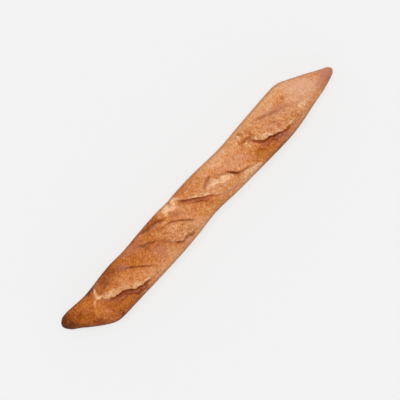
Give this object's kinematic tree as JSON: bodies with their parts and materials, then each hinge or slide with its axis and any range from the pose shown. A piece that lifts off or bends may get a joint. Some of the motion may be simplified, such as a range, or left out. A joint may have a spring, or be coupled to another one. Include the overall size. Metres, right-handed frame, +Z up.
{
  "type": "baguette",
  "caption": "Long, hand-shaped baguette with diagonal scores opened into rough bursts with ragged lips, tapered ends and a flat sole to lie on.",
  "frame": {"origin": "middle of the loaf's bounding box, on the plane that the flat sole rests on", "axes": "+X along the loaf, from the blunt dark end to the pointed pale end; +Y across the loaf, from the torn lips of the scores towards their creases; +Z up, from the sole to the scored crown"},
  "size_m": [0.55, 0.0726, 0.0539],
  "materials": {
    "crust": "dry baked crust, satin on the smooth skin and matte in the scores"
  },
  "bodies": {
    "root": {"baguette": "crust"}
  },
  "joints": []
}
